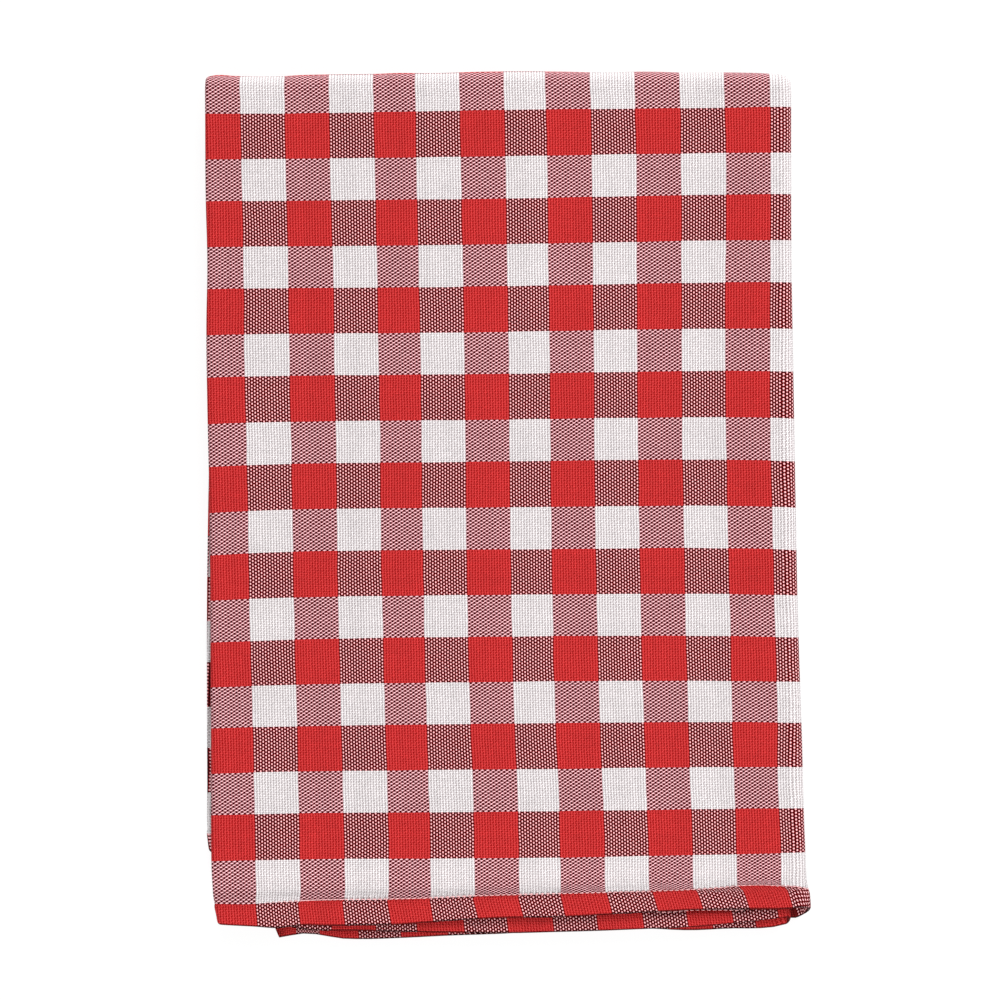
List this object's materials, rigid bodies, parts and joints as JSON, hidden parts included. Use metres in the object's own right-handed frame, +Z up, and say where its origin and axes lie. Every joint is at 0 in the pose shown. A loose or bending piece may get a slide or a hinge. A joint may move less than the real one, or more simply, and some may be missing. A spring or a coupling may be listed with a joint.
{
  "type": "tea towel",
  "caption": "Checked cotton tea towel, folded in quarters across its width and once in half along its length, lying flat with its hems stepped at one end.",
  "frame": {"origin": "on the surface the towel lies on, under the middle of the folded towel", "axes": "+X across the towel to the open outer fold, +Y towards the crosswise fold, +Z up out of the front"},
  "size_m": [0.1834, 0.263, 0.0121],
  "materials": {
    "cotton": "matte yarn-dyed cotton, plain weave, red and white check"
  },
  "bodies": {
    "root": {"towel": "cotton"}
  },
  "joints": []
}
